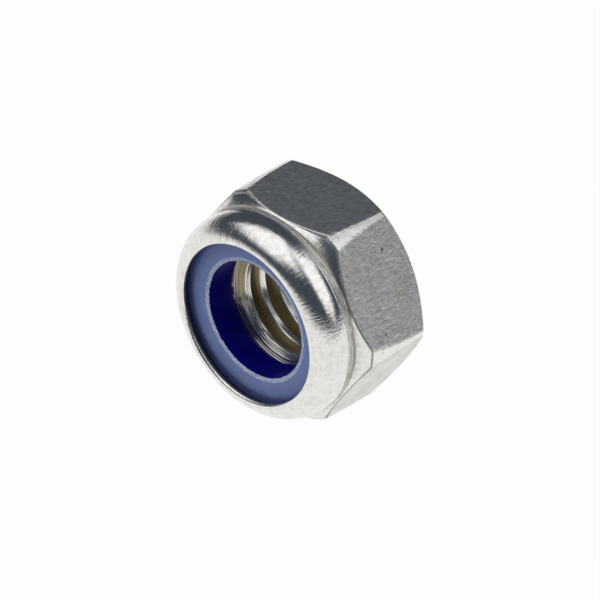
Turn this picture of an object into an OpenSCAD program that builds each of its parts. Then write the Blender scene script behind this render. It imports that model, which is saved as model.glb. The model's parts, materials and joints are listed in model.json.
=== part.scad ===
// Nylon insert lock nut, size M8: a hexagon nut with a collar crimped over a nylon ring.
// Lengths are in millimetres. The nut lies on one of its flats: the bore axis runs along Y,
// the nylon end faces -Y and the bearing face +Y. The origin is on the bore axis, at half
// the nut's height. Sections are drawn as [radius, height above the bearing face].

/* [Thread] */
// Nominal diameter of the bolt's thread
thread_d = 8; // [7:0.1:8.6]
// Pitch of the thread
thread_pitch = 1.25; // [0.75:0.05:1.5]
// How much wider than its basic size the bore through the crests is drilled
core_allowance = 0.1; // [0:0.01:0.25]
// Full angle of both countersinks
countersink_angle = 120; // [90:5:130]
// How much wider than the thread the countersink in the bearing face is
bearing_countersink_extra = 0.5; // [0.1:0.05:0.8]
// How much wider than the thread the countersink under the nylon is
seat_countersink_extra = 0.26; // [0.05:0.01:0.6]

/* [Hexagon] */
// Height of the whole nut
nut_height = 8; // [7:0.1:9]
// Width across the flats
across_flats = 13; // [12.6:0.1:14]
// How much is taken off each of the six corners near the bearing face
corner_cut = 0.13; // [0.04:0.01:0.3]
// How much more is taken off each corner at the bend where it begins to fall away
corner_bend_cut = 0.04; // [0.01:0.01:0.1]
// How much more again is taken off each corner at the shoulder
corner_shoulder_cut = 0.15; // [0.02:0.01:0.2]
// Height of the bend in the corners, as a share of the height of the flats
corner_bend_share = 0.55; // [0.4:0.05:0.7]
// Width of the bearing chamfer at the middle of a side
bearing_chamfer = 0.22; // [0.05:0.01:0.6]
// Angle of the bearing chamfer from the bearing face
bearing_chamfer_angle = 38; // [15:1:45]

/* [Collar] */
// Height of shoulder, neck and collar together, above the flats
collar_height = 2.4; // [2.2:0.05:2.8]
// Angle of the shoulder from the bearing face
shoulder_angle = 42; // [25:1:50]
// How far the widest place of the collar stands in from the flats
collar_inset = 0.08; // [0.03:0.01:0.3]
// Depth of the neck below the widest place of the collar
neck_depth = 0.04; // [0.02:0.01:0.08]
// Outside radius of the bend that turns the collar inwards
collar_bend_r = 1.68; // [1.5:0.02:1.9]
// Thickness of the collar's wall beside the nylon
collar_wall = 0.82; // [0.6:0.02:1]
// Thickness of the collar's wall at the lip
lip_thickness = 0.53; // [0.4:0.01:0.6]
// How far the lip reaches inwards over the nylon
lip_reach = 0.54; // [0.3:0.02:0.7]
// Radius on the outer edge of the lip
lip_edge_r = 0.12; // [0.05:0.01:0.2]

/* [Nylon insert] */
// Height of the nylon ring
insert_height = 2.3; // [2:0.05:2.6]
// Depth of the nylon's face below the top of the lip
insert_depth = 0.8; // [0.7:0.02:1]
// Inside radius of the bend over the nylon
pocket_bend_r = 0.75; // [0.7:0.01:0.9]
// How much narrower than the thread the nylon's bore is, so that it grips the bolt
insert_grip = 0.76; // [0.4:0.02:1.1]
// Width of the chamfer round the mouth of the nylon
mouth_chamfer = 0.3; // [0.1:0.05:0.5]
// Depth of the chamfer round the mouth of the nylon
mouth_chamfer_depth = 0.2; // [0.1:0.05:0.4]
// Width and depth of the chamfer at the foot of the nylon's bore
foot_chamfer = 0.4; // [0.1:0.05:0.6]
// Gap between the nylon's rim and the pocket
insert_clearance = 0.02; // [0.01:0.01:0.05]

/* [Hidden] */
$fn = 96;

// Share of the pitch by which a metric thread's crests stand in from its nominal diameter
thread_depth_share = 1.0825;
// How far a cutting shape runs past the surface that it cuts
overrun = 1;
// How far the arc on the lip's edge passes beyond the two surfaces that it joins
arc_crossing = 0.002;

core_r = (thread_d - thread_depth_share * thread_pitch + core_allowance) / 2;
bearing_countersink_r = (thread_d + bearing_countersink_extra) / 2;
seat_countersink_r = (thread_d + seat_countersink_extra) / 2;
insert_bore_r = (thread_d - insert_grip) / 2;
flat_r = across_flats / 2;
bearing_face_r = flat_r - bearing_chamfer;
collar_r = flat_r - collar_inset;
neck_r = collar_r - neck_depth;
pocket_r = collar_r - collar_wall;
lip_r = pocket_r - lip_reach;

flat_height = nut_height - collar_height;
insert_top = nut_height - insert_depth;
seat_height = insert_top - insert_height;

// The corners' distance from the axis: sharp, near the bearing face, at the bend and above
sharp_corner_r = flat_r / cos(30);
corner_r = sharp_corner_r - corner_cut;
corner_bend_r = corner_r - corner_bend_cut;
corner_shoulder_r = corner_bend_r - corner_shoulder_cut;

// Centre of the arc on the lip's outer edge: its top is the top of the nut
lip_edge_x = lip_r + lip_edge_r - arc_crossing;
lip_edge_y = nut_height - lip_edge_r;

// Centre of the collar's bend
bend_x = collar_r - collar_bend_r;
bend_y = lip_edge_y - circle_height(collar_bend_r - lip_edge_r + arc_crossing, lip_edge_x - bend_x);

// The shoulder's height at a radius
function shoulder_height(r) = flat_height - (r - flat_r) * tan(shoulder_angle);

// Centre of the pocket's bend, set so that the wall ends in a lip of the given thickness
pocket_bend_x = pocket_r - pocket_bend_r;
lip_top = bend_y + circle_height(collar_bend_r, lip_r - bend_x);
pocket_bend_y = lip_top - lip_thickness - circle_height(pocket_bend_r, lip_r - pocket_bend_x);

// Height of a circle of radius r above its centre, at a distance x to the side
function circle_height(r, x) = sqrt(r * r - x * x);

// Depth of a countersink that widens from radius a to radius b
function countersink_depth(a, b) = (b - a) / tan(countersink_angle / 2);

// Lays a nut that is drawn with its axis upwards on its flat, nylon end to the front
module lying_down() {
    translate([0, nut_height / 2, 0])
        rotate([90, 0, 0])
            children();
}

// Hexagon with a corner on X and a flat facing Y
module hexagon() {
    polygon([for (corner = [0:5]) sharp_corner_r * [cos(60 * corner), sin(60 * corner)]]);
}

// Everything that is round about the axis: the chamfer at the bearing face, the blunt corners,
// which fall away towards the shoulder, the shoulder, the neck, which is a short straight wall,
// and the collar, which bends inwards from its widest place to the lip
module turned_section() {
    polygon([
        [0, 0],
        [bearing_face_r, 0],
        [corner_r, (corner_r - bearing_face_r) * tan(bearing_chamfer_angle)],
        [corner_bend_r, corner_bend_share * flat_height],
        [corner_shoulder_r, shoulder_height(corner_shoulder_r)],
        [neck_r, shoulder_height(neck_r)],
        [neck_r, bend_y],
        [0, bend_y]
    ]);
    translate([bend_x, bend_y])
        circle(r = collar_bend_r);
    square([bend_x, nut_height]);
}

// Waste outside the arc that rounds the lip's outer edge
module lip_edge_waste() {
    reach = (collar_bend_r + overrun) / (collar_bend_r - lip_edge_r);
    beyond = [bend_x, bend_y] + reach * [lip_edge_x - bend_x, lip_edge_y - bend_y];
    difference() {
        polygon([
            [lip_r - lip_edge_r, lip_edge_y],
            [lip_edge_x, lip_edge_y],
            beyond,
            [lip_r - lip_edge_r, beyond[1]]
        ]);
        translate([lip_edge_x, lip_edge_y])
            circle(r = lip_edge_r);
    }
}

// Pocket for the nylon, under the bent wall, and the opening inside the lip
module pocket_section() {
    translate([0, seat_height])
        square([pocket_r, pocket_bend_y - seat_height]);
    intersection() {
        translate([pocket_bend_x, pocket_bend_y])
            circle(r = pocket_bend_r);
        translate([0, seat_height])
            square([pocket_r + overrun, nut_height]);
    }
    translate([0, seat_height])
        square([lip_r, nut_height - seat_height + overrun]);
}

// Bore at the thread's crests with a countersink at each end
module bore_section() {
    bearing_depth = countersink_depth(core_r, bearing_countersink_r);
    seat_depth = countersink_depth(core_r, seat_countersink_r);
    polygon([
        [0, -overrun],
        [bearing_countersink_r, -overrun],
        [bearing_countersink_r, 0],
        [core_r, bearing_depth],
        [core_r, seat_height - seat_depth],
        [seat_countersink_r, seat_height],
        [seat_countersink_r, seat_height + overrun],
        [0, seat_height + overrun]
    ]);
}

// Nylon ring: flat on its seat, its rim pressed round under the bent wall
module insert_section() {
    rim_r = pocket_r - insert_clearance;
    difference() {
        union() {
            translate([0, seat_height])
                square([pocket_bend_x, insert_height]);
            translate([0, seat_height])
                square([rim_r, pocket_bend_y - seat_height]);
            intersection() {
                translate([pocket_bend_x, pocket_bend_y])
                    circle(r = pocket_bend_r - insert_clearance);
                translate([0, seat_height])
                    square([pocket_r, insert_height]);
            }
        }
        polygon([
            [0, seat_height - overrun],
            [insert_bore_r + foot_chamfer, seat_height - overrun],
            [insert_bore_r + foot_chamfer, seat_height],
            [insert_bore_r, seat_height + foot_chamfer],
            [insert_bore_r, insert_top - mouth_chamfer_depth],
            [insert_bore_r + mouth_chamfer, insert_top],
            [insert_bore_r + mouth_chamfer, insert_top + overrun],
            [0, insert_top + overrun]
        ]);
    }
}

// Steel body in one piece: hexagon, neck and crimped collar
module nut_body() {
    color([0.66, 0.66, 0.65])
        lying_down()
            intersection() {
                translate([0, 0, -overrun])
                    linear_extrude(height = nut_height + 2 * overrun)
                        hexagon();
                rotate_extrude()
                    difference() {
                        turned_section();
                        bore_section();
                        pocket_section();
                        lip_edge_waste();
                    }
            }
}

// Blue nylon ring that grips the bolt's thread
module nylon_insert() {
    color([0.16, 0.24, 0.56])
        lying_down()
            rotate_extrude()
                insert_section();
}

nut_body();
nylon_insert();
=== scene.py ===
import json
import math

import bmesh
import bpy
from mathutils import Matrix, Vector


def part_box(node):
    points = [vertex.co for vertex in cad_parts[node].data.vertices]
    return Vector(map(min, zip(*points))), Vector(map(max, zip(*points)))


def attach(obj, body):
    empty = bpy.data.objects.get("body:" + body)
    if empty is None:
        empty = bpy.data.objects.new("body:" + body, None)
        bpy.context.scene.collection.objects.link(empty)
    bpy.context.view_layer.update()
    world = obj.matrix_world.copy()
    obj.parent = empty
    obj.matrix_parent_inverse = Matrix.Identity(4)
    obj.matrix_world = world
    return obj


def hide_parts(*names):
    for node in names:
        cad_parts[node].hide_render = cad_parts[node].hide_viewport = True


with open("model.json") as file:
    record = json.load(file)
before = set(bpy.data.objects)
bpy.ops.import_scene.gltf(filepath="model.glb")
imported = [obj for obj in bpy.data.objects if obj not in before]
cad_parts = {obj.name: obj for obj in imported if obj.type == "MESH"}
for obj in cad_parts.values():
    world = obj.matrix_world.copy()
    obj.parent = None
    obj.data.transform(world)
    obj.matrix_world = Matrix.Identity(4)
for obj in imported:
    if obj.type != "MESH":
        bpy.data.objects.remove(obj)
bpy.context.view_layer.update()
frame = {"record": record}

mm = 0.001
weldDistance = 0.0001 * mm


# An output socket that takes part in Python expressions: each operator adds its Math node
class Socket:
    def __init__(self, graph, link):
        self.graph = graph
        self.link = link

    def other(self, output):
        return self.graph.output(self.link.node, output)

    def maths(self, operation, *values):
        return self.graph.node("ShaderNodeMath", {"operation": operation}, values)

    def __add__(self, value):
        return self.maths("ADD", self, value)

    def __radd__(self, value):
        return self.maths("ADD", value, self)

    def __sub__(self, value):
        return self.maths("SUBTRACT", self, value)

    def __rsub__(self, value):
        return self.maths("SUBTRACT", value, self)

    def __mul__(self, value):
        return self.maths("MULTIPLY", self, value)

    def __rmul__(self, value):
        return self.maths("MULTIPLY", value, self)

    def __truediv__(self, value):
        return self.maths("DIVIDE", self, value)

    def __pow__(self, value):
        return self.maths("POWER", self, value)

    def __abs__(self):
        return self.maths("ABSOLUTE", self)

    def __gt__(self, value):
        return self.maths("GREATER_THAN", self, value)

    def least(self, value):
        return self.maths("MINIMUM", self, value)

    def most(self, value):
        return self.maths("MAXIMUM", self, value)

    def sine(self):
        return self.maths("SINE", self)

    def cosine(self):
        return self.maths("COSINE", self)

    def root(self):
        return self.maths("SQRT", self)

    def floor(self):
        return self.maths("FLOOR", self)

    def fraction(self):
        return self.maths("FRACT", self)

    def within(self, first, last):
        return self.most(first).least(last)

    # Goes from the first value to the last as this socket goes from 0 to 1
    def between(self, first, last):
        return first + (last - first) * self

    # 0 below the first value and 1 above the last, with a smooth step between them
    def step(self, first, last):
        return self.graph.node(
            "ShaderNodeMapRange",
            {"interpolation_type": "SMOOTHSTEP"},
            {"Value": self, "From Min": first, "From Max": last},
        )


# A node tree of either kind, with one method for any node
class Graph:
    def __init__(self, tree):
        self.tree = tree

    def find(self, sockets, key):
        if isinstance(key, int):
            return sockets[key]
        named = [s for s in sockets if s.identifier == key] or [s for s in sockets if s.name == key]
        return named[0]

    def output(self, node, key):
        return Socket(self, self.find(node.outputs, key))

    def node(self, kind, settings=None, inputs=(), output=0):
        made = self.tree.nodes.new(kind)
        for name, value in (settings or {}).items():
            setattr(made, name, value)
        for key, value in inputs.items() if isinstance(inputs, dict) else enumerate(inputs):
            socket = self.find(made.inputs, key)
            if isinstance(value, Socket):
                self.tree.links.new(value.link, socket)
            else:
                socket.default_value = value
        return self.output(made, output) if made.outputs else None

    def vector(self, x=0.0, y=0.0, z=0.0):
        return self.node("ShaderNodeCombineXYZ", None, (x, y, z))

    def vectorMaths(self, operation, *values, output=0):
        return self.node("ShaderNodeVectorMath", {"operation": operation}, values, output)

    def mixColour(self, share, first, last):
        return self.node(
            "ShaderNodeMix",
            {"data_type": "RGBA"},
            {"Factor_Float": share, "A_Color": first, "B_Color": last},
            "Result_Color",
        )

    def noise(self, place, scale, detail, roughness):
        return self.node(
            "ShaderNodeTexNoise",
            None,
            {"Vector": place, "Scale": scale, "Detail": detail, "Roughness": roughness},
        )

    def attribute(self, name):
        return self.node("ShaderNodeAttribute", {"attribute_name": name}, (), "Fac")


def rgba(red, green, blue):
    return (red, green, blue, 1.0)


def newMaterial(name, build):
    material = bpy.data.materials.new(name)
    material.use_nodes = True
    material.node_tree.nodes.clear()
    graph = Graph(material.node_tree)
    graph.node("ShaderNodeOutputMaterial", None, {"Surface": build(graph)})
    return material


# A geometry tree with named inputs, whose kinds follow the values that they are given
def newShaper(name, values, build):
    tree = bpy.data.node_groups.new(name, "GeometryNodeTree")
    tree.interface.new_socket("Geometry", in_out="INPUT", socket_type="NodeSocketGeometry")
    kinds = {int: "NodeSocketInt", float: "NodeSocketFloat"}
    for label, value in values.items():
        kind = kinds.get(type(value), "NodeSocketMaterial")
        tree.interface.new_socket(label, in_out="INPUT", socket_type=kind)
    tree.interface.new_socket("Geometry", in_out="OUTPUT", socket_type="NodeSocketGeometry")
    graph = Graph(tree)
    section = graph.node("NodeGroupInput")
    graph.node("NodeGroupOutput", None, (build(graph, section, section.other),))
    return tree


# Runs a tree on a section and keeps the result as a plain mesh
def shapedMesh(section, tree, values):
    modifier = section.modifiers.new(tree.name, "NODES")
    modifier.node_group = tree
    for socket in tree.interface.items_tree:
        if socket.in_out == "INPUT" and socket.name in values:
            modifier[socket.identifier] = values[socket.name]
    view = bpy.context.evaluated_depsgraph_get()
    mesh = bpy.data.meshes.new_from_object(
        section.evaluated_get(view), preserve_all_data_layers=True, depsgraph=view
    )
    section.modifiers.remove(modifier)
    return mesh


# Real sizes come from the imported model; the others repeat the part's own source, in millimetres
mounts = {m["name"]: m["dims"] for m in frame["record"]["mounts"]}
low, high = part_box("nut_body")
nut = {
    "height": (high.y - low.y) / mm,
    "acrossFlats": (high.z - low.z) / mm,
    "bearingChamfer": 0.22,
    "bearingChamferAngle": 38.0,
    "cornerCut": 0.13,
    "cornerFall": 0.19,  # how much nearer to the axis the corners are at the shoulder
    "cornerFallPower": 2.5,
    "cornerSoftness": 0.04,
    "collarHeight": 2.4,
    "shoulderAngle": 42.0,
    "collarInset": 0.08,
    "neckDepth": 0.04,
    "neckRidges": 2.0,
    "neckRidgeHeight": 0.014,
    "neckNotch": 0.03,  # depth of the fine groove at the collar's foot
    "neckUnevenness": 0.02,
    "unevennessScale": 5.0,  # cells of its noise per millimetre
    "collarBendR": 1.68,
    "collarWall": 0.82,
    "lipThickness": 0.53,
    "lipReach": 0.54,
    "lipEdgeR": 0.12,
    "lipRollR": 0.19,  # the crimping tool has rolled the edge rounder than the source has it
    "pocketBendR": 0.75,
    "edgeBreak": 0.04,  # reach of the rounding along the edges
    "columnsPerSide": 52,
    "columnCrowding": 0.84,  # how much closer the columns stand at the corners
    "sharpAngle": 38.0,
}
flatR = nut["acrossFlats"] / 2
flatHeight = nut["height"] - nut["collarHeight"]
bearingFaceR = flatR - nut["bearingChamfer"]
collarR = flatR - nut["collarInset"]
neckR = collarR - nut["neckDepth"]
pocketR = collarR - nut["collarWall"]
lipR = pocketR - nut["lipReach"]
chamferSlope = math.tan(math.radians(nut["bearingChamferAngle"]))
shoulderSlope = math.tan(math.radians(nut["shoulderAngle"]))
neckHeight = flatHeight - (neckR - flatR) * shoulderSlope


# Height of a circle above its centre, at a distance to the side
def circleHeight(radius, aside):
    return math.sqrt(radius**2 - aside**2)


bendX = collarR - nut["collarBendR"]
lipEdge = Vector((lipR + nut["lipEdgeR"], nut["height"] - nut["lipEdgeR"]))
bend = Vector(
    (bendX, lipEdge.y - circleHeight(nut["collarBendR"] - nut["lipEdgeR"], lipEdge.x - bendX))
)
lipFoot = bend.y + circleHeight(nut["collarBendR"], lipR - bendX) - nut["lipThickness"]
pocketBendX = pocketR - nut["pocketBendR"]
pocketBend = Vector((pocketBendX, lipFoot - circleHeight(nut["pocketBendR"], lipR - pocketBendX)))

ring = {
    "boreR": mounts["nylon_bore"]["r_mm"],
    "height": 2.3,
    "depth": 0.8,  # of its face below the top of the lip
    "mouthChamfer": 0.3,
    "mouthChamferDepth": 0.1,  # the scuffed burr fills half of the chamfer
    "mouthUnevenness": 0.045,
    "footChamfer": 0.4,
    "footEdgeBreak": 0.07,
    "clearance": 0.02,
    "sharpAngle": 50.0,
}
ringTop = nut["height"] - ring["depth"]
seatHeight = ringTop - ring["height"]

thread = {
    "crestR": mounts["thread"]["r_mm"],
    "rootR": 4.03,
    "pitch": 1.25,
    "crestWidth": 0.36,
    "crestHeight": 0.57,  # of the middle of a crest above the bearing face
    "crestAzimuth": 227.6,  # where it has that height
    "flankAngle": 30.0,
    # Points that round the edges of crest and root: along the axis and deeper than a sharp edge
    "crestEdge": ((-0.06, 0.0), (-0.02, 0.004), (0.01, 0.035)),
    "rootEdge": ((-0.015, -0.035), (0.02, -0.003)),
    "turns": 7,
    "countersinkAngle": 120.0,
    "bearingCountersinkR": 4.25,
    "seatCountersinkR": 4.13,
    "blend": 0.14,  # depth over which the thread's finish turns into the countersinks'
}


# A section is a list of rows. Each lies at a radius and a height above the bearing face, and
# says which rules move it and what finish or painted shade it has as it goes round the axis
def row(radius, height=0.0, **rules):
    return {"radius": radius, "height": height, **rules}


def share(index, count):
    return index / (count - 1)


def arcRows(centre, radius, first, last, count, **rules):
    angles = [math.radians(first + (last - first) * share(i, count)) for i in range(count)]
    return [
        row(centre.x + radius * math.cos(a), centre.y + radius * math.sin(a), **rules)
        for a in angles
    ]


# Rows from one point to another, with the last point but without the first
def lineRows(start, end, count, **rules):
    return [
        row(
            start[0] + (end[0] - start[0]) * (i + 1) / count,
            start[1] + (end[1] - start[1]) * (i + 1) / count,
            **rules,
        )
        for i in range(count)
    ]


# Rows that round an edge, from the direction of one surface to that of the next
def edgeRows(size, before, after, count=5, radius=0.0, height=0.0, **rules):
    rows = []
    for i in range(count):
        back, ahead = size * (1 - share(i, count)) ** 2, size * share(i, count) ** 2
        rows.append(
            row(
                radius,
                height,
                outward=before[0] * back + after[0] * ahead,
                upward=before[1] * back + after[1] * ahead,
                **rules,
            )
        )
    return rows


def direction(degrees):
    return math.cos(math.radians(degrees)), math.sin(math.radians(degrees))


lengthRules = ("outward", "upward", "unevenness")
shareRules = (
    "hexShare",  # 0 at the row's own radius, 1 on the hexagon
    "shoulderShare",  # 0 at the bearing chamfer's height, 1 at the shoulder's
    "ruled",  # 1 where the height follows those two
)
# Two of these are no finish: the lip's dark rows carry painted shade, and the shoulder's edge rows
# mark where a painted dark reflection goes
finishesAndPaintedShade = ("turned", "neck", "bore", "reamed", "shaded", "edge", "scuffed", "face", "along")


# A line through the rows, which carries their rules, finishes and painted shade as attributes
def newSection(name, rows):
    mesh = bpy.data.meshes.new(name)
    points = [(r["radius"] * mm, r["height"] * mm, 0.0) for r in rows]
    mesh.from_pydata(points, [(i, i + 1) for i in range(len(rows) - 1)], [])
    travelled = 0.0
    for last, r in zip([rows[0]] + rows, rows):
        travelled += math.hypot(r["radius"] - last["radius"], r["height"] - last["height"])
        r["along"] = travelled
    for rule in lengthRules + shareRules + finishesAndPaintedShade:
        scale = mm if rule in lengthRules else 1.0
        layer = mesh.attributes.new(rule, "FLOAT", "POINT")
        layer.data.foreach_set("value", [r.get(rule, 0.0) * scale for r in rows])
    section = bpy.data.objects.new(name, mesh)
    bpy.context.scene.collection.objects.link(section)
    return section


# Columns stand closer together at the six corners, the same in every tree, so that edges meet
def columnAngle(column, perSide, crowding):
    sides = column / perSide
    return (sides - crowding * (sides * math.tau).sine() / math.tau) * (math.pi / 3)


# The grid that a section sweeps: its columns go round and its rows follow the section
def sweptGrid(graph, section, columns):
    rows = graph.node(
        "GeometryNodeAttributeDomainSize", {"component": "MESH"}, (section,), "Point Count"
    )
    grid = graph.node(
        "GeometryNodeMeshGrid", None, {"Vertices X": columns + 1, "Vertices Y": rows}
    )
    index = graph.node("GeometryNodeInputIndex")
    column = ((index + 0.5) / rows).floor()

    def fromRow(field, kind="FLOAT"):
        return graph.node(
            "GeometryNodeSampleIndex",
            {"data_type": kind},
            {"Geometry": section, "Value": field, "Index": index - column * rows},
        )

    def rule(name):
        return fromRow(
            graph.node(
                "GeometryNodeInputNamedAttribute", {"data_type": "FLOAT"}, {"Name": name}
            )
        )

    place = graph.node(
        "ShaderNodeSeparateXYZ",
        None,
        (fromRow(graph.node("GeometryNodeInputPosition"), "FLOAT_VECTOR"),),
    )
    return grid, column, place, place.other("Y"), rule


# Puts the grid round the bore's axis, closes it and gives it its finish, and painted shade where
# its fields carry it
def finishedSweep(graph, grid, radius, angle, height, halfHeight, material, fields):
    for name, field in fields.items():
        grid = graph.node(
            "GeometryNodeStoreNamedAttribute",
            {"data_type": "FLOAT", "domain": "POINT"},
            {"Geometry": grid, "Name": name, "Value": field},
        )
    place = graph.vector(radius * angle.cosine(), halfHeight - height, radius * angle.sine())
    grid = graph.node("GeometryNodeSetPosition", None, {"Geometry": grid, "Position": place})
    grid = graph.node(
        "GeometryNodeMergeByDistance", None, {"Geometry": grid, "Distance": weldDistance}
    )
    grid = graph.node("GeometryNodeSetShadeSmooth", None, {"Geometry": grid})
    grid = graph.node("GeometryNodeRealizeInstances", None, (grid,))
    return graph.node("GeometryNodeSetMaterial", None, {"Geometry": grid, "Material": material})


def buildTurned(graph, section, given):
    grid, column, radius, height, rule = sweptGrid(graph, section, given("Columns per side") * 6)
    angle = columnAngle(column, given("Columns per side"), given("Column crowding"))
    side = math.pi / 3
    aside = (angle / side + 0.5).fraction() - 0.5  # from the nearest corner, in sides

    upFlat = rule("shoulderShare")
    cornerR = given("Corner radius") - given("Corner fall") * upFlat ** given("Corner fall power")
    sharpR = given("Flat radius") / (side / 2 - abs(aside) * side).cosine()
    hexagonR = sharpR.maths("SMOOTH_MIN", sharpR, cornerR, given("Corner softness"))

    ruledR = rule("hexShare").between(radius, hexagonR)
    chamferHeight = (ruledR - given("Bearing face radius")) * given("Chamfer slope")
    shoulderHeight = (
        given("Flat height") - (ruledR - given("Flat radius")) * given("Shoulder slope")
    )
    ruledHeight = upFlat.between(chamferHeight, shoulderHeight)
    height = rule("ruled").between(height, ruledHeight) + rule("upward")
    radius = ruledR + rule("outward")

    def uneven(place):
        return (graph.noise(place, given("Unevenness scale"), 3.0, 0.6) - 0.5) * 2

    place = graph.vector(radius * angle.cosine(), height, radius * angle.sine())
    radius = radius + uneven(place) * rule("unevenness")
    place = graph.vectorMaths("ADD", place, (1.0, 1.0, 1.0))
    height = height + uneven(place) * rule("unevenness")

    fields = {name: rule(name) for name in finishesAndPaintedShade}
    corner = (sharpR - cornerR).step(0.0, given("Corner softness"))
    fields["corner"] = corner * rule("hexShare")
    # A painted dark reflection: a line where the flat passes into the corner, at one side of each
    # corner
    onHexagon = rule("hexShare") > 0.9
    fields["cornerLine"] = corner * (1 - corner) * 4 * (aside > 0) * onHexagon
    return finishedSweep(
        graph, grid, radius, angle, height, given("Half height"), given("Material"), fields
    )


def buildThread(graph, section, given):
    perSide = given("Columns per side")
    grid, column, radius, height, _ = sweptGrid(graph, section, perSide * given("Turns") * 6)
    angle = columnAngle(column, perSide, given("Column crowding"))
    height = height + given("Start height") + given("Pitch") * angle / math.tau
    height = height.within(0.0, given("Seat height"))
    bearingCone = given("Bearing countersink radius") - height * given("Countersink slope")
    underSeat = given("Seat height") - height
    seatCone = given("Seat countersink radius") - underSeat * given("Countersink slope")
    cone = bearingCone.most(seatCone)
    bore = (radius - cone).step(0.0, given("Blend"))
    fields = {"bore": bore, "turned": 1 - bore, "reamed": 1 - bore, "along": height / mm}
    radius = radius.most(cone)
    return finishedSweep(
        graph, grid, radius, angle, height, given("Half height"), given("Material"), fields
    )


def nutRows():
    chamfer, shoulder = direction(nut["bearingChamferAngle"]), direction(nut["shoulderAngle"])
    toFace, toNeck = (-chamfer[0], -chamfer[1]), (-shoulder[0], shoulder[1])
    edgeBreak = nut["edgeBreak"]
    onChamfer = {"ruled": 1.0, "shoulderShare": 0.0}
    onShoulder = {"ruled": 1.0, "shoulderShare": 1.0}
    bendR, rollR = nut["collarBendR"], nut["lipRollR"]
    neckTurn = math.degrees(math.acos((neckR - bend.x) / bendR))
    neckTop = bend.y - bendR * math.sin(math.radians(neckTurn))
    roll = Vector((0.0, nut["height"] - rollR))
    roll.x = bend.x + circleHeight(bendR - rollR, roll.y - bend.y)
    bendTop = math.degrees(math.atan2(roll.y - bend.y, roll.x - bend.x))
    rollStop = 200
    rollEnd = roll + rollR * Vector(direction(rollStop))
    pocketBendTop = math.degrees(math.acos((lipR - pocketBend.x) / nut["pocketBendR"]))

    faceStart = thread["bearingCountersinkR"] + 0.02
    faceEnd = bearingFaceR - 2 * edgeBreak
    rows = [row(thread["bearingCountersinkR"], turned=1.0), row(faceStart, turned=1.0)]
    rows += lineRows((faceStart, 0), (faceEnd, 0), 5, turned=1.0)
    rows += edgeRows(edgeBreak, (-1, 0), chamfer, radius=bearingFaceR, turned=1.0)
    rows += [row(bearingFaceR, hexShare=s, turned=1.0, **onChamfer) for s in (0.35, 0.6)]
    rows += edgeRows(edgeBreak, toFace, (0, 1), hexShare=1.0, **onChamfer)
    flatSteps = 14
    for i in range(flatSteps):
        rows.append(row(flatR, hexShare=1.0, ruled=1.0, shoulderShare=(i + 0.5) / flatSteps))
    # The shoulder's edge rows mark where a painted dark reflection goes, low on the nut
    rows += edgeRows(edgeBreak, (0, -1), toNeck, hexShare=1.0, edge=1.0, **onShoulder)
    for hexShare, roughened in ((0.75, 0.05), (0.5, 0.2), (0.3, 0.5), (0.14, 0.8)):
        rows.append(row(neckR, hexShare=hexShare, turned=1.0, neck=roughened, **onShoulder))
    neckSteps = 16
    for i in range(neckSteps):
        t = i / neckSteps
        ridge = math.sin(math.pi * t) * math.sin(math.tau * nut["neckRidges"] * t)
        rows.append(
            row(
                neckR,
                neckHeight + (neckTop - neckHeight) * t,
                outward=nut["neckRidgeHeight"] * ridge - nut["neckNotch"] * t**8,
                unevenness=nut["neckUnevenness"] * math.sin(math.pi * t),
                turned=1.0,
                neck=1.0,
            )
        )
    rows += arcRows(bend, bendR, -neckTurn, -neckTurn + 5, 4, turned=1.0, neck=0.4)
    rows += arcRows(bend, bendR, -neckTurn + 7, bendTop, 42, turned=1.0)
    rows += arcRows(roll, rollR, bendTop, 160, 9, turned=1.0)[1:]
    # The roll's inner side, the lip's inner wall and the pocket get painted shade: a near-black
    # colour for the shadow in the crevice under the lip
    rows += arcRows(roll, rollR, 170, rollStop, 4, turned=1.0, shaded=0.6)
    rows += lineRows(rollEnd, (lipR, lipFoot), 4, turned=1.0, shaded=1.0)
    rows += arcRows(
        pocketBend, nut["pocketBendR"], pocketBendTop, 0, 12, turned=1.0, shaded=1.0
    )[1:]
    pocketFoot = (pocketR, seatHeight)
    rows += lineRows((pocketR, pocketBend.y), pocketFoot, 3, turned=1.0, shaded=1.0)
    rows += lineRows(pocketFoot, (thread["seatCountersinkR"], seatHeight), 4, turned=1.0)
    return rows


# One crest with half a groove on each side, drawn at the height 0
def threadRows():
    crest = thread["crestWidth"] / 2
    deep = thread["rootR"] - thread["crestR"]
    flank = deep * math.tan(math.radians(thread["flankAngle"]))
    rise = 7
    side = [(0.0, 0.0)]
    side += [(crest + offset, depth) for offset, depth in thread["crestEdge"]]
    side += [(crest + flank * i / rise, deep * i / rise) for i in range(1, rise)]
    side += [(crest + flank + offset, deep + depth) for offset, depth in thread["rootEdge"]]
    side += [(thread["pitch"] / 2, deep)]
    places = [(-offset, depth) for offset, depth in reversed(side[1:])] + side
    return [row(thread["crestR"] + depth, offset) for offset, depth in reversed(places)]


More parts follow.
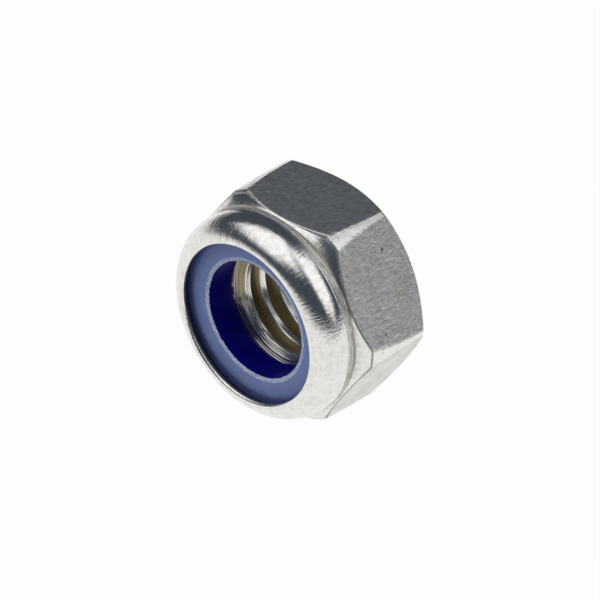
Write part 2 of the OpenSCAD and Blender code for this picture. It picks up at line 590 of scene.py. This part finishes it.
def ringRows():
    boreR, foot, mouth = ring["boreR"], ring["footChamfer"], ring["mouthChamfer"]
    bendR = nut["pocketBendR"] - ring["clearance"]
    rimR = pocketR - ring["clearance"]
    rimTop = math.degrees(math.asin((ringTop - pocketBend.y) / bendR))
    faceEnd = pocketBend.x + bendR * math.cos(math.radians(rimTop)) - 0.03
    mouthFoot = ringTop - ring["mouthChamferDepth"]
    boreFoot = seatHeight + foot
    start = (boreR + foot, seatHeight)
    rows = [row(*start)]
    rows += lineRows(start, (boreR + 0.05, boreFoot - 0.05), 3)
    rows += edgeRows(ring["footEdgeBreak"], direction(-45), (0, 1), radius=boreR, height=boreFoot)
    rows += lineRows((boreR, boreFoot + 0.08), (boreR, mouthFoot - 0.04), 8)
    scuffs = (0.0, 0.4, 0.8, 1.0, 1.0, 1.0, 0.9, 0.7, 0.4)
    for i, scuffed in enumerate(scuffs):
        t = share(i, len(scuffs))
        rows.append(
            row(
                boreR + 0.005 + mouth * t,
                mouthFoot + ring["mouthChamferDepth"] * t**0.6,
                unevenness=ring["mouthUnevenness"] * scuffed,
                scuffed=scuffed,
                face=t,
            )
        )
    rows += lineRows((boreR + mouth + 0.06, ringTop), (faceEnd, ringTop), 12, face=1.0)
    rows += arcRows(pocketBend, bendR, rimTop, 0, 12, face=1.0)
    rows += lineRows((rimR, pocketBend.y), (rimR, seatHeight), 3)
    rows += lineRows((rimR, seatHeight), start, 3)
    return rows


# Object coordinates in millimetres, first whole and then split, and the distance from the axis
def metricPlace(graph):
    place = graph.vectorMaths(
        "MULTIPLY", graph.node("ShaderNodeTexCoord", None, (), "Object"), (1 / mm, 1 / mm, 1 / mm)
    )
    x = graph.node("ShaderNodeSeparateXYZ", None, (place,))
    z = x.other("Z")
    return place, x, (x * x + z * z).root().most(0.001)


# A look's patterns are noises: cells per unit along each axis, detail and roughness
def pattern(graph, look, name, place):
    cells, detail, roughness = look["patterns"][name]
    return graph.noise(graph.vectorMaths("MULTIPLY", place, cells), 1.0, detail, roughness)


def reliefNormal(graph, height):
    return graph.node("ShaderNodeBump", None, {"Height": height, "Distance": mm, "Strength": 1.0})


steelLook = {
    "colour": rgba(0.82, 0.81, 0.785),
    "stainColour": rgba(0.56, 0.53, 0.46),
    "dirtColour": rgba(0.19, 0.15, 0.075),
    "hollowColour": rgba(0.25, 0.26, 0.28),
    "shadedColour": rgba(0.02, 0.02, 0.022),
    # Near-black colour of the painted shade and of the painted dark lines
    "rootColour": rgba(0.6, 0.49, 0.26),
    "patterns": {
        "waves": ((1.1, 1.1, 1.1), 1.0, 0.5),
        "cloud": ((0.9, 0.9, 0.9), 4.0, 0.6),
        "blotches": ((2.6, 2.6, 2.6), 5.0, 0.62),
        "grain": ((9.0, 9.0, 9.0), 3.0, 0.6),
        "specks": ((8.0, 8.0, 8.0), 2.0, 0.5),
        "pits": ((5.0, 3.2, 5.0), 2.0, 0.5),
        "drawn": ((4.5, 2.6, 4.5), 3.0, 0.55),
        "scored": ((14.0, 3.5, 14.0), 2.0, 0.5),
        "streaks": ((5.0, 1.2, 5.0), 3.0, 0.6),
        # These are laid round the axis, per radius, and along the section
        "lines": ((1.5, 14.0, 1.5), 3.0, 0.6),
        "wrinkles": ((50.0, 1.6, 50.0), 3.0, 0.65),
        "torn": ((9.0, 9.0, 9.0), 4.0, 0.65),
        # And this one by the distance from the axis
        "rings": ((10.0, 0.0, 0.0), 2.0, 0.5),
    },
    "pitLimits": (0.6, 0.8),
    "speckLimits": (0.68, 0.74),
    "insidePlaces": (-1.0, -0.35),  # along Y, from the seat to the first whole turn
    "rootRadii": (3.39, 3.5),
    # Where the painted dark reflection on the shoulder's edge fades out, and how dark the painted
    # lines are
    "edgeLineHeights": (4.5, 6.0),  # above the axis, where the line on the edge fades out
    "edgeLine": 0.65,
    # Strength of the painted shade in the lip
    "shade": 0.92,
    "crimpReach": 0.3,
    "turnedStain": 0.55,
    "turnedStainLimits": (0.36, 0.8),
    "flatStain": 0.5,
    "flatStainLimits": (0.35, 0.7),
    "lineStain": 0.5,
    "rootStain": 0.9,
    "hollows": 1.3,
    "hollowLevel": 0.53,
    "depth": {
        "lines": 0.005,
        "wrinkles": 0.016,
        "turnedWaves": 0.012,
        "grain": 0.0015,
        "torn": 0.07,
        "neckGrain": 0.01,
        "rings": 0.07,
        "bore": 0.012,
        "drawn": 0.04,
        "drawnCornerLoss": 0.75,  # share of it that is missing on the corners
        "scored": 0.008,
        "scoredCornerLoss": 0.5,
        "pits": 0.008,
        "flatWaves": 0.02,
        "streaks": 0.012,
    },
    "dirt": {
        "neck": 0.26,
        "neckTorn": 2.4,
        "neckGrain": 0.8,
        "bore": 0.1,
        "boreLines": 0.8,
        "root": 0.25,
        "rootRings": 2.2,
        "seatLevel": 0.45,
        "seatRings": 3.0,
        "reamedLevel": 0.35,
        "reamedRings": 0.7,
        "turnedSpecks": 0.4,
        "flatSpecks": 0.2,
        "pits": 0.6,
        "marks": 1.1,
    },
    "roughness": {
        "flat": 0.4,
        "turned": 0.15,
        "bore": 0.2,
        "neck": 0.2,
        "shaded": 0.3,
        "root": 0.3,
        "corner": -0.14,
        "cloud": 0.12,
        "blotches": 0.16,
        "limits": (0.06, 0.9),
    },
    "marks": (
        {"place": (4.654, 2.075, 4.939), "size": 0.2, "depth": 0.014},
        {"place": (6.908, 0.354, 1.035), "size": 0.16, "depth": 0.012},
        {"place": (6.86, 0.2, 1.25), "size": 0.14, "depth": 0.01},
    ),
}


def buildSteel(graph):
    look = steelLook
    depth, dirt, rough = look["depth"], look["dirt"], look["roughness"]
    place, x, radius = metricPlace(graph)
    y, z = x.other("Y"), x.other("Z")
    turned, neck, bore = (graph.attribute(name) for name in ("turned", "neck", "bore"))
    reamed, shaded, edge = (graph.attribute(name) for name in ("reamed", "shaded", "edge"))
    corner, cornerLine = (graph.attribute(name) for name in ("corner", "cornerLine"))
    flat = 1 - turned.most(bore)

    def patterns(place, *names):
        return (pattern(graph, look, name, place) for name in names)

    # Turning lines go round; the crimping tool's wrinkles run across them
    around = graph.vector(x / radius, graph.attribute("along"), z / radius)
    lines, wrinkles, torn = patterns(around, "lines", "wrinkles", "torn")
    (rings,) = patterns(graph.vector(radius), "rings")
    # Drawing marks run along the bar that the hexagon was cut from
    drawn, scored, streaks = patterns(place, "drawn", "scored", "streaks")
    waves, cloud, blotches, grain = patterns(place, "waves", "cloud", "blotches", "grain")
    pits, specks = patterns(place, "pits", "specks")
    pits, specks = pits.step(*look["pitLimits"]), specks.step(*look["speckLimits"])

    # Only the collar is crimped: it begins in front of the shoulder
    shoulderPlace = nut["height"] / 2 - flatHeight
    crimped = 1 - y.step(shoulderPlace - look["crimpReach"], shoulderPlace)
    # Beyond the countersink the flanks and roots are brown with old cutting oil
    inside = y.step(*look["insidePlaces"])
    root = bore * radius.step(*look["rootRadii"]) * inside

    height = (
        turned
        * (
            lines * depth["lines"]
            + wrinkles * crimped * depth["wrinkles"]
            + waves * depth["turnedWaves"]
            + grain * depth["grain"]
        )
        + neck * (torn * depth["torn"] + grain * depth["neckGrain"])
        + reamed.most(bore * (1 - inside)) * rings * depth["rings"]
        + flat
        * (
            drawn * (1 - corner * depth["drawnCornerLoss"]) * depth["drawn"]
            + scored * (1 - corner * depth["scoredCornerLoss"]) * depth["scored"]
            - pits * depth["pits"]
            + waves * depth["flatWaves"]
            + corner * streaks * depth["streaks"]
        )
        + bore * (lines + rings) * depth["bore"]
    )
    pressed = 0.0
    for mark in look["marks"]:
        away = graph.vectorMaths("DISTANCE", place, mark["place"], output="Value")
        dent = 1 - away.step(0.0, mark["size"])
        height = height - dent * mark["depth"]
        pressed = pressed + dent

    plain = flat * (1 - corner)
    stain = (
        blotches.step(*look["turnedStainLimits"]) * turned * look["turnedStain"]
        + cloud.step(*look["flatStainLimits"]) * plain * look["flatStain"]
        + (lines - 0.5) * turned * look["lineStain"]
    )
    colour = graph.mixColour(stain.within(0.0, 1.0), look["colour"], look["stainColour"])
    hollow = ((look["hollowLevel"] - drawn) * look["hollows"]).within(0.0, 1.0) * plain
    colour = graph.mixColour(hollow, colour, look["hollowColour"])
    colour = graph.mixColour(root * look["rootStain"], colour, look["rootColour"])
    dirty = (
        neck * (dirt["neck"] + (torn - 0.5) * dirt["neckTorn"] + (grain - 0.5) * dirt["neckGrain"])
        + bore * (dirt["bore"] + (lines - 0.5) * dirt["boreLines"])
        + root * (dirt["root"] + (rings - 0.5) * dirt["rootRings"])
        + bore * (1 - inside) * (rings - dirt["seatLevel"]) * dirt["seatRings"]
        + reamed * (rings - dirt["reamedLevel"]) * dirt["reamedRings"]
        + specks * (turned * dirt["turnedSpecks"] + flat * dirt["flatSpecks"])
        + pits * flat * dirt["pits"]
        + pressed * dirt["marks"]
    )
    colour = graph.mixColour(dirty.within(0.0, 1.0), colour, look["dirtColour"])
    # Painted dark reflections: lines where the flats end, at one side of each corner and low on the
    # shoulder's edge
    line = cornerLine + edge.step(0.7, 1.0) * (1 - z.step(*look["edgeLineHeights"]))
    # The lip's inner wall and pocket rows get painted shade: a near-black colour for the shadow
    # under the lip
    shade = (shaded * look["shade"] + line * look["edgeLine"]).least(1.0)
    colour = graph.mixColour(shade, colour, look["shadedColour"])
    roughness = (
        flat * rough["flat"]
        + turned * rough["turned"]
        + bore * rough["bore"]
        + neck * rough["neck"]
        + shaded * rough["shaded"]
        + root * rough["root"]
        + corner * flat * rough["corner"]
        + (cloud - 0.5) * rough["cloud"]
        + (blotches - 0.5) * rough["blotches"]
    )
    return graph.node(
        "ShaderNodeBsdfPrincipled",
        None,
        {
            "Base Color": colour,
            "Metallic": 1.0,
            "Roughness": roughness.within(*rough["limits"]),
            "Normal": reliefNormal(graph, height),
        },
    )


nylonLook = {
    # A darker copy of the nylon's colour, as painted shade for the bore
    "boreColour": rgba(0.0, 0.0006, 0.25),
    "faceColour": rgba(0.3, 0.385, 0.76),
    # Dark navy of the painted shade on the face next to the lip
    "rimColour": rgba(0.02, 0.035, 0.3),
    "paleColour": rgba(0.4, 0.47, 0.74),
    "scuffColour": rgba(0.5, 0.6, 0.9),
    "fleckColour": rgba(0.92, 0.95, 1.0),
    "patterns": {
        "grain": ((7.0, 7.0, 7.0), 4.0, 0.65),
        "cloud": ((1.1, 1.1, 1.1), 3.0, 0.6),
        "shreds": ((4.0, 4.0, 4.0), 4.0, 0.7),
        "flecks": ((7.0, 7.0, 7.0), 3.0, 0.6),
        "lines": ((9.0, 9.0, 0.0), 3.0, 0.6),  # by the distance from the axis, and along it
    },
    "raggedness": 1.7,
    "wornLimits": (0.42, 0.62),
    "scuffStart": (0.0, 0.3),
    "fleckLimits": (0.42, 0.62),
    "paleLimits": (0.4, 0.7),
    "paleShare": 0.35,
    "rimRadii": (4.7, 5.1),
    "rimShare": 0.6,
    "ior": 1.5,
    "gloss": 0.08,
    "roughness": {
        "bore": 0.34,
        "face": 0.45,
        "worn": 0.25,
        "cloud": 0.1,
        "limits": (0.1, 0.9),
    },
    "depth": {"grain": 0.004, "lines": 0.003, "scuffs": 0.03},
}


def buildNylon(graph):
    look = nylonLook
    depth, rough = look["depth"], look["roughness"]
    place, x, radius = metricPlace(graph)
    face, scuffed = graph.attribute("face"), graph.attribute("scuffed")
    grain, cloud, shreds, flecks = (
        pattern(graph, look, name, place) for name in ("grain", "cloud", "shreds", "flecks")
    )
    lines = pattern(graph, look, "lines", graph.vector(radius, x.other("Y")))
    ragged = scuffed + (shreds - 0.5) * look["raggedness"]
    worn = ragged.step(*look["wornLimits"]) * scuffed.step(*look["scuffStart"])
    pale = face * cloud.step(*look["paleLimits"]) * look["paleShare"]
    # Painted shade: the face turns dark navy towards the lip, for the shadow under the lip's
    # overhang
    rimShade = face * radius.step(*look["rimRadii"]) * look["rimShare"]
    # The bore takes a darker copy of the same nylon's colour as the face: painted shade inside the
    # bore
    colour = graph.mixColour(face, look["boreColour"], look["faceColour"])
    colour = graph.mixColour(pale, colour, look["paleColour"])
    colour = graph.mixColour(rimShade, colour, look["rimColour"])
    scuffColour = graph.mixColour(
        flecks.step(*look["fleckLimits"]), look["scuffColour"], look["fleckColour"]
    )
    colour = graph.mixColour(worn, colour, scuffColour)
    roughness = (
        face.between(rough["bore"], rough["face"])
        + worn * rough["worn"]
        + (cloud - 0.5) * rough["cloud"]
    )
    height = grain * depth["grain"] + lines * depth["lines"] + scuffed * shreds * depth["scuffs"]
    return graph.node(
        "ShaderNodeBsdfPrincipled",
        None,
        {
            "Base Color": colour,
            "Roughness": roughness.within(*rough["limits"]),
            "IOR": look["ior"],
            "Specular IOR Level": look["gloss"],
            "Normal": reliefNormal(graph, height),
        },
    )


steel = newMaterial("satinSteel", buildSteel)
nylon = newMaterial("blueNylon", buildNylon)
print("materials ready")

firstCrest = thread["crestHeight"] - thread["pitch"] * thread["crestAzimuth"] / 360
turnedValues = {
    "Columns per side": nut["columnsPerSide"],
    "Column crowding": nut["columnCrowding"],
    "Half height": nut["height"] / 2 * mm,
    "Flat radius": flatR * mm,
    "Flat height": flatHeight * mm,
    "Bearing face radius": bearingFaceR * mm,
    "Chamfer slope": chamferSlope,
    "Shoulder slope": shoulderSlope,
    "Corner radius": (flatR / math.cos(math.pi / 6) - nut["cornerCut"]) * mm,
    "Corner fall": nut["cornerFall"] * mm,
    "Corner fall power": nut["cornerFallPower"],
    "Corner softness": nut["cornerSoftness"] * mm,
    "Unevenness scale": nut["unevennessScale"] / mm,
    "Material": steel,
}
threadValues = {
    "Columns per side": nut["columnsPerSide"],
    "Column crowding": nut["columnCrowding"],
    "Half height": nut["height"] / 2 * mm,
    "Turns": thread["turns"],
    "Pitch": thread["pitch"] * mm,
    "Start height": (firstCrest % thread["pitch"] - 2 * thread["pitch"]) * mm,
    "Seat height": seatHeight * mm,
    "Bearing countersink radius": thread["bearingCountersinkR"] * mm,
    "Seat countersink radius": thread["seatCountersinkR"] * mm,
    "Countersink slope": math.tan(math.radians(thread["countersinkAngle"] / 2)),
    "Blend": thread["blend"] * mm,
    "Material": steel,
}
turnedShaper = newShaper("turnedShape", turnedValues, buildTurned)
threadShaper = newShaper("threadShape", threadValues, buildThread)


# Joins meshes that meet edge to edge into one closed piece
def newPiece(name, meshes, material, sharpAngle):
    parts = [bpy.data.objects.new(name, mesh) for mesh in meshes]
    for part in parts:
        bpy.context.scene.collection.objects.link(part)
    piece = parts[0]
    if len(parts) > 1:
        with bpy.context.temp_override(active_object=piece, selected_editable_objects=parts):
            bpy.ops.object.join()
    mesh = piece.data
    mesh.name = name
    joined = bmesh.new()
    joined.from_mesh(mesh)
    bmesh.ops.remove_doubles(joined, verts=joined.verts, dist=weldDistance)
    bmesh.ops.recalc_face_normals(joined, faces=joined.faces)
    joined.to_mesh(mesh)
    joined.free()
    mesh.materials.clear()
    mesh.materials.append(material)
    mesh.set_sharp_from_angle(angle=math.radians(sharpAngle))
    return piece


nutSection = newSection("nutSection", nutRows())
threadSection = newSection("threadSection", threadRows())
ringSection = newSection("ringSection", ringRows())
nutBody = newPiece(
    "lockNutBody",
    [
        shapedMesh(nutSection, turnedShaper, turnedValues),
        shapedMesh(threadSection, threadShaper, threadValues),
    ],
    steel,
    nut["sharpAngle"],
)
ringValues = dict(turnedValues, Material=nylon)
nylonRing = newPiece(
    "nylonRing", [shapedMesh(ringSection, turnedShaper, ringValues)], nylon, ring["sharpAngle"]
)
for section in (nutSection, threadSection, ringSection):
    bpy.data.objects.remove(section)
for piece, node, slot in ((nutBody, "nut_body", "steel"), (nylonRing, "nylon_insert", "nylon")):
    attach(piece, "root")
    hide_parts(node)
    print(piece.name, len(piece.data.polygons), "faces")

# The camera stands where the photo was taken from; its places are in millimetres
studio = {
    "azimuth": 41.014,
    "elevation": 35.31,
    "roll": 4.112,
    "distance": 219.2,
    "aside": -2.305,  # of the camera from the bearing face's middle, to its right
    "above": -1.632,
    "lens": 225.06,
    "sensor": 36.0,
    "floorGlow": 0.97,
    "floorPaleness": 0.9,
    "floorSize": 4.0,  # metres
    "room": rgba(0.058, 0.071, 0.09),
}
# Distances and sizes of lamps are in metres
lamps = {
    "keyLamp": {
        "azimuth": -39.0,
        "elevation": 59.2,
        "turn": 69.5,
        "distance": 0.6,
        "shape": "RECTANGLE",
        "size": (0.68, 0.68),
        "power": 1.08,
    },
    "sideLamp": {
        "azimuth": 101.5,
        "elevation": 49.0,
        "turn": -6.0,
        "distance": 0.6,
        "shape": "ELLIPSE",
        "size": (0.54, 0.86),
        "power": 1.08,
    },
    "edgeLamp": {
        "azimuth": 155.0,
        "elevation": 50.0,
        "turn": 0.0,
        "distance": 0.6,
        "shape": "ELLIPSE",
        "size": (0.2, 0.2),
        "power": 0.8,
    },
}


# Right, up and back of someone who looks at the nut from an azimuth, counted from the front to
# the right, and an elevation
def lookAxes(azimuth, elevation, roll=0.0):
    a, e, r = (math.radians(v) for v in (azimuth, elevation, roll))
    right = Vector((math.cos(a), math.sin(a), 0))
    back = Vector((math.sin(a) * math.cos(e), -math.cos(a) * math.cos(e), math.sin(e)))
    up = back.cross(right)
    return (
        right * math.cos(r) + up * math.sin(r),
        up * math.cos(r) - right * math.sin(r),
        back,
    )


def placed(name, data, axes, location):
    made = bpy.data.objects.new(name, data)
    bpy.context.scene.collection.objects.link(made)
    made.matrix_world = Matrix.Translation(location) @ Matrix(axes).transposed().to_4x4()
    return made


right, up, back = lookAxes(studio["azimuth"], studio["elevation"], studio["roll"])
bearingMiddle = Vector((0, high.y, 0))
cameraData = bpy.data.cameras.new("camera")
cameraData.lens = studio["lens"]
cameraData.sensor_width = studio["sensor"]
cameraData.clip_start = 0.01
cameraData.clip_end = 20
away = back * studio["distance"] + right * studio["aside"] + up * studio["above"]
bpy.context.scene.camera = placed(
    "camera", cameraData, (right, up, back), bearingMiddle + away * mm
)

for name, lamp in lamps.items():
    data = bpy.data.lights.new(name, "AREA")
    data.shape = lamp["shape"]
    data.size, data.size_y = lamp["size"]
    area = data.size * data.size_y * (math.pi / 4 if data.shape == "ELLIPSE" else 1.0)
    data.energy = lamp["power"] * math.pi * area
    axes = lookAxes(lamp["azimuth"], lamp["elevation"], lamp["turn"])
    placed(name, data, axes, axes[2] * lamp["distance"])


# What the camera and shiny surfaces see of the floor is a pale ground that keeps the shadow
def buildFloor(graph):
    path = graph.node("ShaderNodeLightPath", None, (), "Is Camera Ray")
    seen = path.most(path.other("Is Glossy Ray")).most(path.other("Is Transmission Ray"))
    glow, paleness = studio["floorGlow"], studio["floorPaleness"]
    lit = graph.node("ShaderNodeBsdfDiffuse", None, {"Color": rgba(paleness, paleness, paleness)})
    pale = graph.node("ShaderNodeBsdfDiffuse", None, {"Color": rgba(1 - glow, 1 - glow, 1 - glow)})
    ground = graph.node("ShaderNodeEmission", None, {"Strength": glow})
    return graph.node(
        "ShaderNodeMixShader",
        None,
        (seen, lit, graph.node("ShaderNodeAddShader", None, (pale, ground))),
    )


reach = studio["floorSize"] / 2
floorCorners = [(x * reach, y * reach, low.z) for x, y in ((-1, -1), (1, -1), (1, 1), (-1, 1))]
floorMesh = bpy.data.meshes.new("floor")
floorMesh.from_pydata(floorCorners, [], [(0, 1, 2, 3)])
floorMesh.materials.append(newMaterial("paleFloor", buildFloor))
floor = bpy.data.objects.new("floor", floorMesh)
bpy.context.scene.collection.objects.link(floor)

world = bpy.data.worlds.new("room")
world.use_nodes = True
world.node_tree.nodes.clear()
worldGraph = Graph(world.node_tree)
roomColour = worldGraph.mixColour(
    worldGraph.node("ShaderNodeLightPath", None, (), "Is Camera Ray"), studio["room"], rgba(1, 1, 1)
)
worldGraph.node(
    "ShaderNodeOutputWorld", None, (worldGraph.node("ShaderNodeBackground", None, (roomColour,)),)
)
bpy.context.scene.world = world
bpy.context.scene.view_settings.view_transform = "Standard"
print("studio ready")
